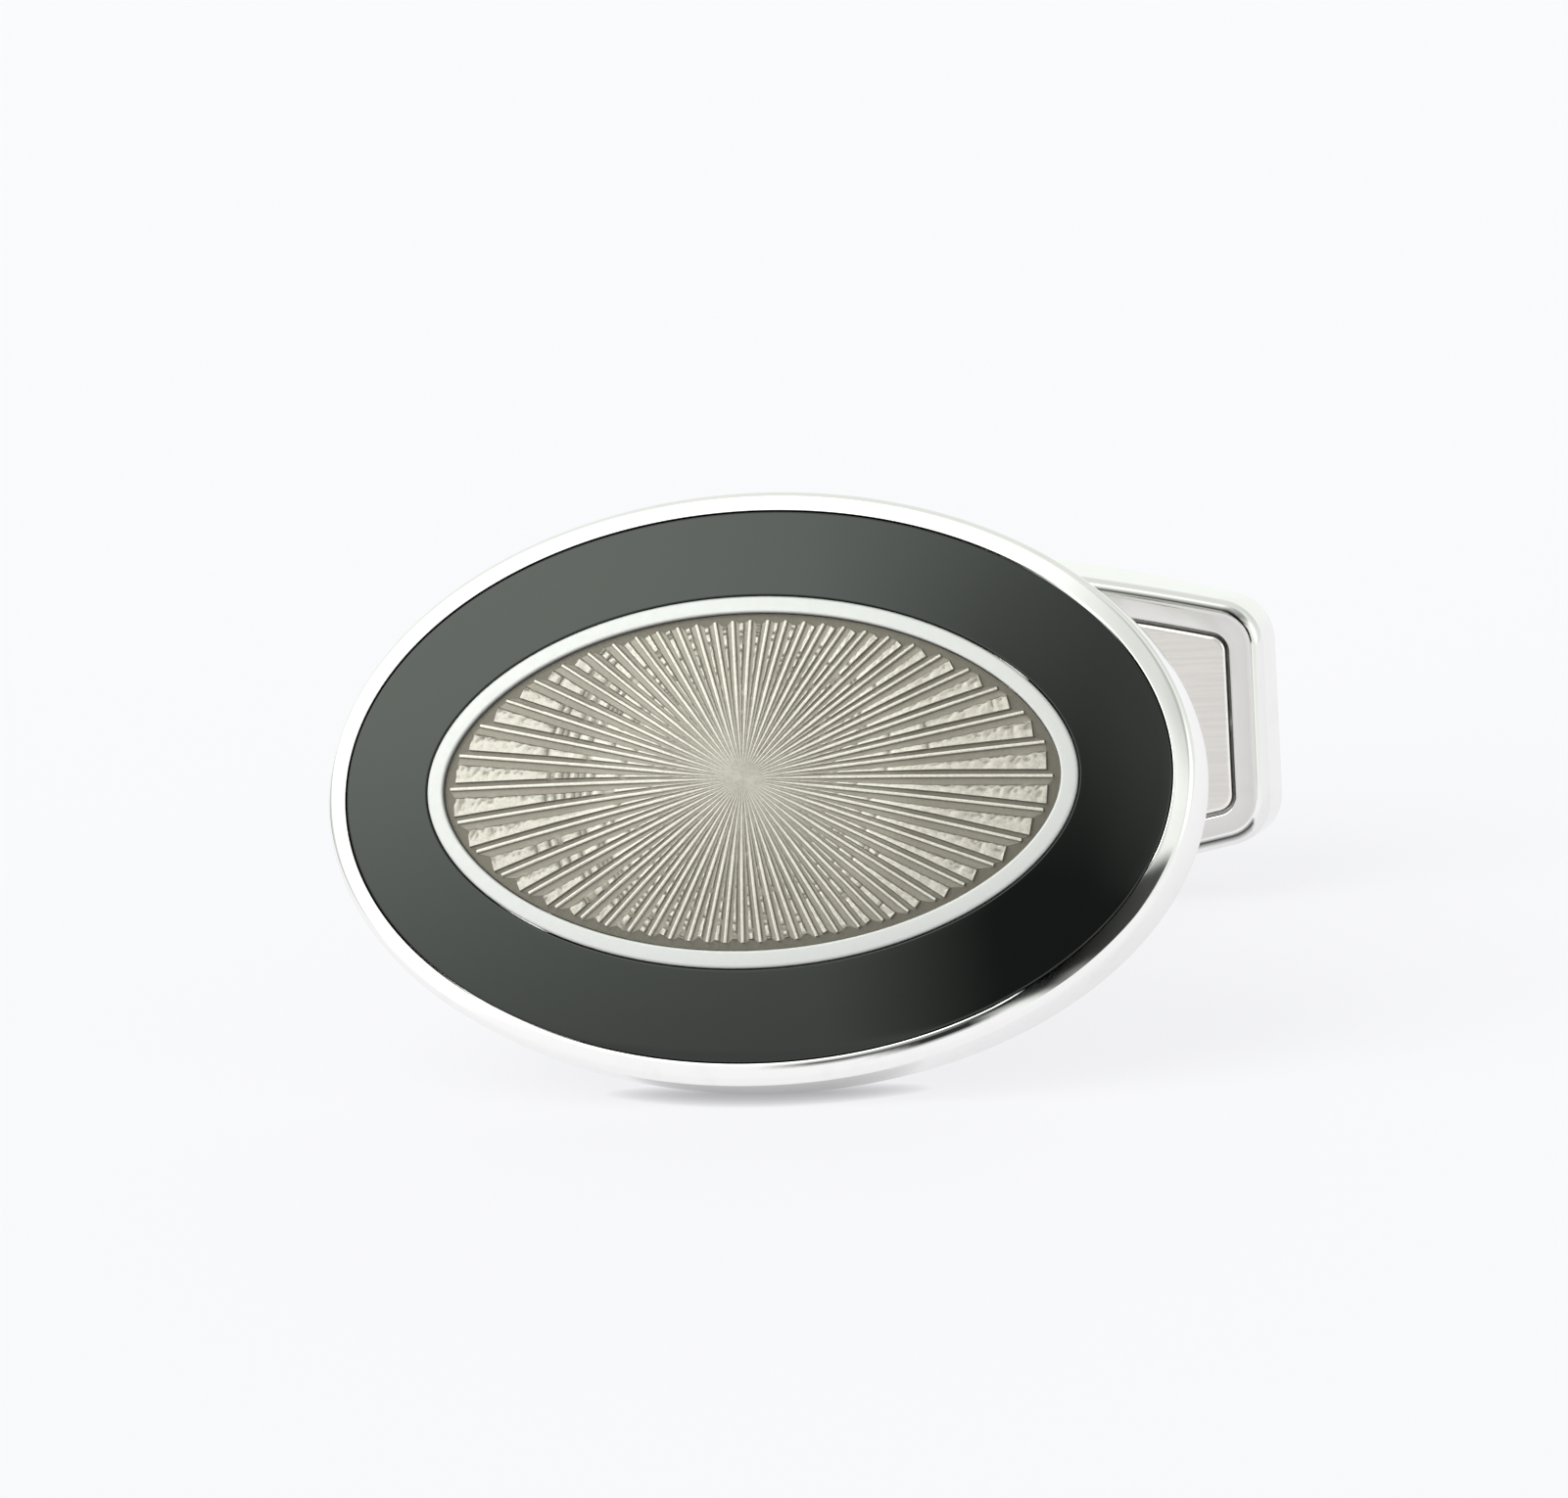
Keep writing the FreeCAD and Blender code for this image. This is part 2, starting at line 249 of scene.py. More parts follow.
# Pieces are drawn in millimetres, those of the head with the centre of its back at zero and its face towards
# +z, and those of the toggle with the pivot at zero, the pin along y and the head towards +z. The swivel's
# axis gives both places in the frame.
millimetre = 0.001
post_length = 15.0
post_slant = math.radians(16.5)
swivel = frame["joints"][0]
pin_axis = Vector(swivel["axis"])
toggle_turn = math.atan2(pin_axis.z, pin_axis.y)
toggle_place = Matrix.Translation(swivel["pos_m"]) @ Matrix.Rotation(toggle_turn, 4, "X")
toggle_place = toggle_place @ Matrix.Scale(millimetre, 4)
head_place = toggle_place @ Matrix.Translation((0, 0, post_length)) @ Matrix.Rotation(-post_slant, 4, "X")


def face_height(x, y):
    """Height of the crowned face: an arc across the head, turned about an axis far behind it."""
    dip = math.sqrt(short_curve**2 - y**2) - short_curve
    return crown - long_curve + math.sqrt((long_curve + dip)**2 - x**2)


def rim_share(spot):
    """How far out on the rim a point lies: 0 at the rim's inner edge, 1 at the outline."""
    reach = math.hypot(spot.x / half_width, spot.y / half_height)
    slant = math.hypot(spot.x / half_width**2, spot.y / half_height**2) / max(reach, 0.001)
    return 1 - (1 - reach) / slant / rim_width


def oval_turn(spot):
    """Angle of a point round the oval, as if the oval were a circle."""
    return math.atan2(spot.y / half_height, spot.x / half_width)


def lift(height):
    """What an extrusion is told so that it goes along z by a height."""
    return {"TRANSFORM_OT_translate": {"value": (0, 0, height)}}


def round_edges(radius, steps, test):
    """Round the edges whose two ends and run both pass a test."""
    bpy.ops.mesh.select_mode(type="EDGE")
    bpy.ops.mesh.select_all(action="DESELECT")
    cage = bmesh.from_edit_mesh(bpy.context.object.data)
    for edge in cage.edges:
        first, second = (corner.co for corner in edge.verts)
        run = (second - first).normalized()
        edge.select_set(test(first, run) and test(second, run))
    bmesh.update_edit_mesh(bpy.context.object.data)
    bpy.ops.mesh.bevel(offset=radius, segments=steps, affect="EDGES", clamp_overlap=False)


def oval_blank(name, inset, width=half_width, height=half_height):
    """An oval sheet whose edge runs at an inset from the outline, selected in edit mode."""
    bpy.ops.object.select_all(action="DESELECT")
    bpy.ops.mesh.primitive_circle_add(vertices=oval_steps, radius=1, fill_type="NGON")
    bpy.context.object.name = name
    bpy.ops.object.mode_set(mode="EDIT")
    bpy.ops.mesh.select_mode(type="FACE")
    bpy.ops.mesh.select_all(action="SELECT")
    bpy.ops.transform.resize(value=(width, height, 1))
    if inset:
        bpy.ops.mesh.inset(thickness=inset, use_even_offset=True)
        bpy.ops.mesh.select_all(action="INVERT")
        bpy.ops.mesh.delete(type="FACE")
        bpy.ops.mesh.select_all(action="SELECT")
    return bpy.context.object


def crown_up(piece):
    """Raise the flat top of a piece of the head to the crowned face."""
    bpy.ops.object.mode_set(mode="OBJECT")
    for point in piece.data.vertices:
        if point.co.z > (case_floor + case_depth) / 2:
            point.co.z += face_height(point.co.x, point.co.y) - case_depth


def finish_mesh(piece, place, smooth_angle=40):
    """Turn the faces outwards, smooth the rounded edges, and put the piece in its place."""
    bpy.ops.object.mode_set(mode="EDIT")
    bpy.ops.mesh.select_all(action="SELECT")
    bpy.ops.mesh.normals_make_consistent(inside=False)
    bpy.ops.object.mode_set(mode="OBJECT")
    bpy.ops.object.shade_smooth_by_angle(angle=math.radians(smooth_angle))
    bpy.ops.object.modifier_add(type="WEIGHTED_NORMAL")
    piece.modifiers[-1].keep_sharp = True
    bpy.ops.object.modifier_apply(modifier=piece.modifiers[-1].name)
    piece.data.transform(place)


def mark_points(piece, value):
    """Give each point of a piece the mark that its finish reads, from where the point lies."""
    kept = piece.data.attributes.new("mark", "FLOAT", "POINT")
    for point in piece.data.vertices:
        kept.data[point.index].value = value(point.co)


def case_painted_shade(spot):
    """A line of painted dark reflection on the rim, elsewhere painted shade that clears towards the front."""
    share, turn = rim_share(spot), oval_turn(spot)
    if spot.z > case_depth and line_inner < share < line_outer:
        stop = line_end + line_taper * (share - line_middle)
        return max(0, min(1, (line_start - turn) / line_fade, (turn - stop) / line_fade))
    return painted_back_shade * max(0, 1 - spot.z / case_depth)


def dress(piece, body, slot, finish, *nodes):
    """Give a piece its finish, and let it ride on a body in place of the frame's own nodes."""
    piece.data.materials.clear()
    piece.data.materials.append(finish)
    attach(piece, body)
    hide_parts(*nodes)


polish_tone = (0.95, 0.944, 0.93, 1)
polish_roughness = 0.05
polish_haze = 0.05
wiped_tone = (0.91, 0.904, 0.89, 1)
# The colour that the mark blends towards: painted shade and a painted dark reflection on the plate.
painted_shade_tone = (0.03, 0.032, 0.028, 1)
polished, shader, steel = new_finish("polished_plate", {"Metallic": 1.0})
spot = steel.node("TexCoord", {}, {}, "Object")
wipes = steel.node("TexNoise", {}, {"Vector": spot, "Scale": 900.0, "Detail": 4.0, "Roughness": 0.6})
# The mark: how much painted shade or painted dark reflection a point carries.
painted_shade = steel.node("Attribute", {"attribute_name": "mark"}, {}, "Fac")
plain = wipes.ramp(0.5, 0.75).blend(polish_tone, wiped_tone)
painted_shade.blend(plain, painted_shade_tone).into(shader, "Base Color")
(polish_roughness + wipes * polish_haze).into(shader, "Roughness")

case = oval_blank("head_case_polished", 0)
bpy.ops.mesh.extrude_region_move(**lift(case_depth))
for width in rim_bands:
    bpy.ops.mesh.inset(thickness=width, use_even_offset=True)
bpy.ops.mesh.extrude_region_move(**lift(case_floor - case_depth))
round_edges(case_back_round, 8, lambda spot, run: spot.z < near_enough)
rim_level = case_depth - near_enough
round_edges(rim_front_round, 5, lambda spot, run: spot.z > rim_level and rim_share(spot) > 1 - near_enough)
round_edges(rim_inner_round, 3, lambda spot, run: spot.z > rim_level and rim_share(spot) < near_enough)
crown_up(case)
for point in case.data.vertices:
    if point.co.z > (case_floor + case_depth) / 2:
        share = max(0, rim_share(point.co))
        if share < flush_share:
            turn = oval_turn(point.co)
            flush = min(1, max(0, min(turn - rim_flush[0], rim_flush[1] - turn) / flush_fade))
            point.co.z += flush * (face_height(point.co.x, point.co.y) - point.co.z)
        level = (point.co.x / half_width)**2
        point.co.z -= rim_lean * share * level + rim_bulge * share**2
mark_points(case, case_painted_shade)
finish_mesh(case, head_place)
dress(case, "head", "polished_plate", polished, "head_case")

# Enamel band: glossy black enamel, poured into the tray between the rim and the ring, fired and ground
# flush with the face. It draws down a little where it meets the metal.
enamel_width = 2.05
seam_gap = 0.02
enamel_sink = 0.02
enamel_meniscus = 0.05
enamel_bands = (0.25, 0.5, 0.5, 0.5, 0.26)
enamel_tone = (0.0075, 0.008, 0.0078, 1)
enamel_gloss = (0.94, 1.0, 0.95, 1)
enamel_roughness = 0.045
enamel_wave = 0.05


def oval_band(name, inset, widths, top, edge_round, steps):
    """A band of the oval from the tray's floor up to the crowned face, with its upper edges rounded."""
    piece = oval_blank(name, inset)
    for width in widths:
        bpy.ops.mesh.inset(thickness=width, use_even_offset=True)
    bpy.ops.mesh.delete(type="FACE")
    bpy.ops.mesh.select_all(action="SELECT")
    bpy.ops.transform.translate(value=(0, 0, case_floor))
    bpy.ops.mesh.extrude_region_move(**lift(top - case_floor))
    bpy.ops.mesh.region_to_loop()
    bpy.ops.mesh.bevel(offset=edge_round, segments=steps, affect="EDGES", clamp_overlap=False)
    crown_up(piece)
    finish_mesh(piece, head_place)
    return piece


band = oval_band("enamel_band_glossy", rim_width + seam_gap, enamel_bands, case_depth - enamel_sink,
                 enamel_meniscus, 5)
enamel, shader, glass = new_finish("black_enamel", {
    "Base Color": enamel_tone, "IOR": 1.5, "Specular Tint": enamel_gloss})
spot = glass.node("TexCoord", {}, {}, "Object")
mist = glass.node("TexNoise", {}, {"Vector": spot, "Scale": 700.0, "Detail": 3.0, "Roughness": 0.5})
(enamel_roughness + mist * enamel_wave).into(shader, "Roughness")
dress(band, "head", "black_enamel", enamel, "enamel_band")

# Inner ring: the flat metal wire, soldered into the tray on edge, that parts the enamel from the
# sunburst. It stands a little proud of the face and has a satin finish.
ring_width = 0.38
ring_stand = 0.03
ring_round = 0.06
ring_inset = rim_width + enamel_width
ring_tone = (0.66, 0.66, 0.654, 1)
ring_roughness, ring_grain = 0.6, 0.1
ring = oval_band("inner_ring_satin", ring_inset, (ring_width / 2, ring_width / 2), case_depth + ring_stand,
                 ring_round, 4)
satin, shader, steel = new_finish("satin_plate", {"Base Color": ring_tone, "Metallic": 1.0})
spot = steel.node("TexCoord", {}, {}, "Object")
grain = steel.node("TexNoise", {}, {"Vector": spot, "Scale": 6000.0, "Detail": 3.0, "Roughness": 0.6})
(ring_roughness + grain * ring_grain).into(shader, "Roughness")
dress(ring, "head", "polished_plate", satin, "inner_ring")

# Sunburst plate: a struck plate soldered into the ring. Narrow round ridges run out from its centre with a
# groove on each side, narrower above a ridge than below it, and flat wedges with a pitted top fill what is
# left. A sunk border goes round it. Its tones are partly the plate's own darker hollows and partly painted
# shade and highlight: the grooves above a ridge carry more painted shade than those below, and the wedges'
# lower edges a painted highlight.
border_width = 0.16
plate_sink = 0.01
border_depth = 0.09
plate_inset = ring_inset + ring_width + seam_gap
ray_count = 56
ray_rows = 90
ridge_top, ridge_foot = (0.03, 0.14), (0.05, 0.24)
groove_most = (0.11, 0.22)
groove_deep = (0.08, 0.25)
groove_plain = 0.45
# How much narrower the grooves above a ridge are, and how much painted shade they carry above and below a
# ridge.
groove_lean, groove_shade, groove_dim = 0.3, 0.2, 0.13
wedge_slope = (0.02, 0.05)
ridge_short, wedge_short, wedge_uneven = 0.0, 0.05, 0.05
toe_least, edge_least, narrow_edge = 0.05, 0.03, 0.05
ridge_shoulder, ridge_wear = 0.85, 0.15
pit_chance, pit_deep, pit_fine = 0.28, 0.7, 0.15
pit_narrow, pit_under = 0.8, 0.7
break_chance, break_pit = 0.25, 0.8
ragged, ragged_over = 0.3, 0.12
# Tones of the marks: lighter towards the centre and where wedges narrow, a painted highlight on the wedges'
# lower edges, darker in pits.
centre_light, narrow_light, under_light, pit_dark = 0.3, 0.28, 0.12, 0.6
wall_slope = 0.015
border_mark, groove_mark, wedge_mark, ridge_mark = 0.0, 0.3, 0.65, 1.0
chance = random.Random(56)


def roll_up(name, rows, marks=None):
    """A closed surface through loops of points: a grid rolled up, whose ends shrink to a point or a line.
    Marks are values for its points, which its material reads."""
    bpy.ops.object.select_all(action="DESELECT")
    around = len(rows[0])
    bpy.ops.mesh.primitive_grid_add(x_subdivisions=around, y_subdivisions=len(rows) - 1)
    piece = bpy.context.object
    piece.name = name
    for row, points in enumerate(rows):
        for column in range(around + 1):
            piece.data.vertices[row * (around + 1) + column].co = points[column % around]
    if marks:
        kept = piece.data.attributes.new("mark", "FLOAT", "POINT")
        for row, values in enumerate(marks):
            for column in range(around + 1):
                kept.data[row * (around + 1) + column].value = values[column % around]
    bpy.ops.object.mode_set(mode="EDIT")
    bpy.ops.mesh.select_all(action="SELECT")
    bpy.ops.mesh.remove_doubles(threshold=0.0001)
    bpy.ops.mesh.normals_make_consistent(inside=False)
    bpy.ops.object.mode_set(mode="OBJECT")
    return piece


def oval_reach(angle, inset):
    """Distance from the centre to a parallel of the outline, in a direction."""
    turn = angle
    for trial in range(60):
        across, along = half_height * math.cos(turn), half_width * math.sin(turn)
        square = math.hypot(across, along)
        x = half_width * math.cos(turn) - inset * across / square
        y = half_height * math.sin(turn) - inset * along / square
        miss = angle - math.atan2(y, x)
        turn += 0.6 * math.atan2(math.sin(miss), math.cos(miss))
    return math.hypot(x, y)


def ray_line(angle, short):
    """A line from the centre: its direction, the direction across it, and its length."""
    out = Vector((math.cos(angle), math.sin(angle), 0))
    return out, Vector((-out.y, out.x, 0)), oval_reach(angle, plate_inset + border_width) - short


spacing_angle = 2 * math.pi / ray_count
guides = []
for ray in range(ray_count):
    ridge = ray_line(ray * spacing_angle, ridge_short)
    wedge = ray_line((ray + 0.5) * spacing_angle, wedge_short + wedge_uneven * chance.random())
    following = ray_line((ray + 1) * spacing_angle, ridge_short)
    guides += [(ridge, "ridge", 0), (ridge, "ridge", 1), (ridge, "foot", 1),
               (wedge, "toe", -1), (wedge, "wedge", -1), (wedge, "wedge", -0.5), (wedge, "wedge", 0),
               (wedge, "wedge", 0.5), (wedge, "wedge", 1), (wedge, "toe", 1),
               (following, "foot", -1), (following, "ridge", -1)]


def sunk(x, y, height):
    """A point of the plate at a height over the floor of its border."""
    return Vector((x, y, face_height(x, y) - plate_sink - border_depth + height))


rows = [[sunk(0, 0, border_depth)] * len(guides)]
marks = [[wedge_mark] * len(guides)]
for row in range(1, ray_rows + 1):
    points, values = [], []
    for (out, across, length), kind, side in guides:
        reach = length * row / ray_rows
        spacing = reach * spacing_angle
        depth = min(groove_deep[0], groove_deep[1] * spacing)
        above = out.x * (side if kind in ("ridge", "foot") else -side)
        under, over = max(0, above), max(0, -above)
        top = min(ridge_top[0], ridge_top[1] * spacing)
        foot = min(ridge_foot[0], ridge_foot[1] * spacing)
        groove = min(groove_most[0], groove_most[1] * spacing) * (1 - groove_lean * above)
        toe = max(toe_least * spacing, spacing / 2 - foot - groove)
        edge = max(edge_least * spacing, toe - min(wedge_slope[0], wedge_slope[1] * spacing))
        offset = side * {"ridge": top, "foot": foot, "toe": toe, "wedge": edge}[kind]
        narrow = min(1, narrow_edge / edge)
        fade = min(1, spacing / groove_plain)
        height = 0.0
        # Grooves carry painted shade, more above a ridge than below it, fading towards the centre where they
        # are lighter.
        mark = groove_mark + centre_light * (1 - fade) - (groove_shade * under + groove_dim * over) * fade
        if kind == "ridge":
            height = 1.0 if side == 0 else ridge_shoulder
            mark = ridge_mark - ridge_wear * chance.random()
        if kind == "wedge":
            if side == -1:
                broken = chance.random() < break_chance * narrow**6 * fade
            pit = pit_deep * (chance.random() < pit_chance) * (1 - pit_narrow * narrow)
            pit += pit_fine * chance.random()
            pit = break_pit if broken else pit * (1 - pit_under * under)
            offset *= 1 - (ragged * narrow * (1 - under) + ragged_over * over) * chance.random()
            height = 1 - pit
            # Wedges are lighter where narrow, carry a painted highlight along their lower edge, and are
            # darker in their pits.
            mark = wedge_mark + narrow_light * narrow**2 + under_light * under - pit_dark * pit
        spot = out * reach + across * offset
        points.append(sunk(spot.x, spot.y, border_depth + depth * (height - 1)))
        values.append(mark)
    rows.append(points)
    marks.append(values)
wall, border, foot_edge = [], [], []
for spot, ((out, across, length), kind, side) in zip(rows[-1], guides):
    step = spot + out * wall_slope
    wall.append(sunk(step.x, step.y, 0))
    angle = math.atan2(spot.y, spot.x)
    reach = oval_reach(angle, plate_inset)
    border.append(sunk(reach * math.cos(angle), reach * math.sin(angle), 0))
    foot_edge.append((border[-1].x, border[-1].y, case_floor))
rows += [wall, border, foot_edge, [(0, 0, case_floor)] * len(guides)]
marks += [[border_mark] * len(guides)] * 4
plate = roll_up("sunburst_plate_struck", rows, marks)
finish_mesh(plate, head_place, smooth_angle=50)
# Tones from the border through the grooves and wedges to the ridges: partly the plate's own darker hollows,
# partly painted shade and highlight.
border_tone = (0.18, 0.166, 0.14, 1)
groove_tone = (0.36, 0.336, 0.29, 1)
wedge_tone = (0.57, 0.545, 0.495, 1)
ridge_tone = (0.70, 0.68, 0.62, 1)
burst_roughness, burst_grain = 0.5, 0.15
struck, shader, metal = new_finish("struck_sunburst", {"Metallic": 1.0})
spot = metal.node("TexCoord", {}, {}, "Object")
relief = metal.node("Attribute", {"attribute_name": "mark"}, {}, "Fac")
pits = metal.node("TexNoise", {}, {"Vector": spot, "Scale": 14000.0, "Detail": 3.0, "Roughness": 0.65})
blotch = metal.node("TexNoise", {}, {"Vector": spot, "Scale": 3500.0, "Detail": 2.0, "Roughness": 0.5})
speck = 0.6 + pits.ramp(0.36, 0.56) * 0.4
low = relief.ramp(0.02, 0.28).blend(border_tone, groove_tone)
level = relief.ramp(0.36, 0.62) * speck * (0.8 + blotch * 0.4)
middle = level.blend(low, wedge_tone)
tone = (relief.ramp(0.7, 0.95) * speck).blend(middle, ridge_tone)
bump = metal.node("Bump", {}, {"Strength": 0.5, "Distance": 0.00002, "Height": pits})
tone.into(shader, "Base Color")
(burst_roughness + pits * burst_grain).into(shader, "Roughness")
bump.into(shader, "Normal")
dress(plate, "head", "struck_sunburst", struck, "sunburst_plate")

# Post pad: an oval disc of the same plated metal as the case, with a rounded edge. It is soldered flat on the
# back of the head and carries the stem.
pad_length, pad_height = 8.4, 6.4
pad_thickness = 0.8
pad_edge_round = 0.3
pad_clear = 0.5
pad = oval_blank("post_pad_polished", 0, pad_length / 2, pad_height / 2)
bpy.ops.mesh.extrude_region_move(**lift(-pad_thickness))
round_edges(pad_edge_round, 6, lambda spot, run: spot.z < -pad_thickness + near_enough)
bpy.ops.object.mode_set(mode="OBJECT")
# Painted shade, darkest where the pad meets the head's back.
mark_points(pad, lambda spot: painted_back_shade * (1 + pad_clear * spot.z / pad_thickness))
finish_mesh(pad, head_place)
dress(pad, "head", "polished_plate", polished, "post_pad")

# Stem: a flat bar cut slantwise and soldered into the pad. Its free end is a square eye with rounded
# corners, whose flats the spring in the toggle rests on.
stem_thickness, stem_width = 1.8, 2.6
stem_edge_round = 0.12
stem_shade_least = 0.3
eye_half = stem_thickness / 2
cam_corner_round = 0.35
pin_diameter = 1.0
pin_running_gap = 0.03
overrun = 1.0


def cut_away(piece, cutter):
    """Cut one shape out of another, and take the cutter away."""
    cutting = piece.modifiers.new("cutting", "BOOLEAN")
    cutting.operation = "DIFFERENCE"
    cutting.solver = "EXACT"
    cutting.object = cutter
    bpy.context.view_layer.objects.active = piece
    bpy.ops.object.modifier_apply(modifier="cutting")
    bpy.data.objects.remove(cutter)
    bpy.ops.object.select_all(action="DESELECT")
    piece.select_set(True)


def block(name, low, high):
    """A block between two corners."""
    bpy.ops.object.select_all(action="DESELECT")
    bpy.ops.mesh.primitive_cube_add(size=1)
    bpy.context.object.name = name
    bpy.ops.object.mode_set(mode="EDIT")
    bpy.ops.mesh.select_all(action="SELECT")
    bpy.ops.transform.resize(value=[b - a for a, b in zip(low, high)])
    bpy.ops.transform.translate(value=[(a + b) / 2 for a, b in zip(low, high)])
    bpy.ops.object.mode_set(mode="OBJECT")
    return bpy.context.object


def rod(name, radius, half_length):
    """A round bar along the pin's axis."""
    bpy.ops.object.select_all(action="DESELECT")
    bpy.ops.mesh.primitive_cylinder_add(vertices=64, radius=radius, depth=2 * half_length,
                                        rotation=(math.pi / 2, 0, 0))
    bpy.context.object.name = name
    bpy.ops.object.transform_apply(location=True, rotation=True, scale=True)
    return bpy.context.object


stem = block("stem_polished", (-eye_half, -stem_width / 2, -eye_half),
             (eye_half, stem_width / 2, post_length + overrun))
bpy.ops.object.mode_set(mode="EDIT")
round_edges(cam_corner_round, 6, lambda spot, run: spot.z < 0 and abs(run.y) > 0.9)
bpy.ops.mesh.select_all(action="DESELECT")
bpy.ops.mesh.edges_select_sharp(sharpness=math.radians(60))
bpy.ops.mesh.bevel(offset=stem_edge_round, segments=4, affect="EDGES", clamp_overlap=False)
bpy.ops.mesh.select_all(action="SELECT")
bpy.ops.mesh.bisect(plane_co=(0, 0, post_length), plane_no=(0, math.sin(post_slant), math.cos(post_slant)),
                    use_fill=True, clear_outer=True)
bpy.ops.object.mode_set(mode="OBJECT")
cut_away(stem, rod("eye", pin_diameter / 2 + pin_running_gap, stem_width))
# Painted shade, darkest at the head and fading towards the toggle.
mark_points(stem, lambda spot: painted_back_shade * max(stem_shade_least, spot.z / post_length))
finish_mesh(stem, toggle_place, smooth_angle=30)
dress(stem, "head", "polished_plate", polished, "stem")

# Toggle shell: the body of the toggle, cast and polished, with bulging long sides and a bowed far face.
# A frame stands round its near face, and a slot in its middle opens at one end for the stem. The groove and
# the frame's long edges are darkened with painted shade.
toggle_length = 16.4
toggle_mid_width, toggle_end_width = 7.8, 5.4
toggle_end_thickness = 1.8
bulge_radius = 21.8
bulge_half = math.radians(9.0)
toggle_corner_round = 1.1
toggle_edge_round = 0.3
frame_width = 0.79
groove_width, groove_depth = 0.07, 0.55
cover_corner_round, cover_edge_round = 0.4, 0.1
frame_edge_round = 0.06
near_face, far_face = 1.3, -2.078
groove_floor = near_face - groove_depth
# Painted shade: a line along the long edges of the near face, where that line ends, and the shade in the
# groove.
edge_shade_line, shade_line_end = 1.0, 7.8
toggle_groove_shade = 0.56
shell_dull = 0.08
flat_start, frame_start = 0.2, 0.08
plain_rows, groove_rows = 13, 9
slot_half, slot_end = 1.4, 1.228
cam_gap = 0.1
spring_seat, spring_end = 3.2, 4.5
spring_bottom, chamber_floor = -1.17, -1.478
toggle_half_length = toggle_length / 2
bulge_middle = Vector((0, toggle_mid_width / 2 - bulge_radius))
shoulder = bulge_middle + bulge_radius * Vector((math.sin(bulge_half), math.cos(bulge_half)))
flank_run = Vector((toggle_half_length, toggle_end_width / 2)) - shoulder
flank_bend = math.atan2(-flank_run.y, flank_run.x) - bulge_half
flank_radius = flank_run.length / (2 * math.sin(flank_bend))
flank_middle = shoulder - flank_radius * Vector((math.sin(bulge_half), math.cos(bulge_half)))
bow_rise = near_face - toggle_end_thickness - far_face
bow_radius = (toggle_half_length**2 + bow_rise**2) / (2 * bow_rise)


def arc(middle, radius, start, stop, steps):
    """Points along an arc, without its last one."""
    turns = [start + (stop - start) * step / steps for step in range(steps)]
    return [(middle[0] + radius * math.cos(turn), middle[1] + radius * math.sin(turn)) for turn in turns]


def toggle_loop(inset, corner_round, height):
    """Points of the toggle's outline less an inset: ends, rounded corners, flanks and bulges."""
    end = toggle_half_length - inset
    corner_x = end - corner_round
    rest = flank_radius - inset - corner_round
    corner_y = flank_middle.y + math.sqrt(rest**2 - (corner_x - flank_middle.x)**2)
    flank_start = math.atan2(corner_y - flank_middle.y, corner_x - flank_middle.x)
    flank_stop = math.pi / 2 - bulge_half
    quarter = [(end, corner_y * step / 4) for step in range(4)]
    quarter += arc((corner_x, corner_y), corner_round, 0, flank_start, 8)
    quarter += arc(flank_middle, flank_radius - inset, flank_start, flank_stop, 10)
    quarter += arc(bulge_middle, bulge_radius - inset, flank_stop, math.pi / 2, 6)
    top = (0, bulge_middle.y + bulge_radius - inset)
    half = quarter + [top] + [(-x, y) for x, y in quarter[:0:-1]]
    outline = half + [(-x, -y) for x, y in half]
    return [(x, y, height(x) if callable(height) else height) for x, y in outline]


def spine(loop):
    """The line along the toggle's middle that a loop closes on."""
    return [(x, 0, z) for x, y, z in loop]


def far_height(x):
    """Height of the bowed far face."""
    return far_face + bow_radius - math.sqrt(bow_radius**2 - x**2)


def rounding(radius, steps=6):
    """How far a rounded edge lies inside and below its two faces, step by step."""
    turns = [math.pi / 2 * step / steps for step in range(steps + 1)]
    return [(radius * (1 - math.sin(turn)), radius * (1 - math.cos(turn))) for turn in turns]


def edge_marks(loop, shaded, unshaded):
    """Marks of a loop with a line of painted shade along the toggle's long edges only."""
    return [shaded if abs(x) < shade_line_end else unshaded for x, y, z in loop]


recess_round = cover_corner_round + groove_width
far_inset = toggle_edge_round + flat_start
rows = [toggle_loop(far_inset, toggle_corner_round - far_inset, far_height)]
rows.insert(0, spine(rows[0]))
for inset, up in rounding(toggle_edge_round):
    rows.append(toggle_loop(inset, toggle_corner_round - inset, lambda x: far_height(x) + up))
for drop, inset in rounding(toggle_edge_round):
    rows.append(toggle_loop(inset, toggle_corner_round - inset, near_face - drop))
edge_inset = toggle_edge_round + frame_start
rows.append(toggle_loop(edge_inset, toggle_corner_round - edge_inset, near_face))
for inset, drop in rounding(frame_edge_round):
    rows.append(toggle_loop(frame_width - inset, recess_round + inset, near_face - drop))
rows.append(toggle_loop(frame_width, recess_round, groove_floor))
rows.append(spine(rows[-1]))
marks = [[shell_dull] * len(rows[0]) for row in rows]
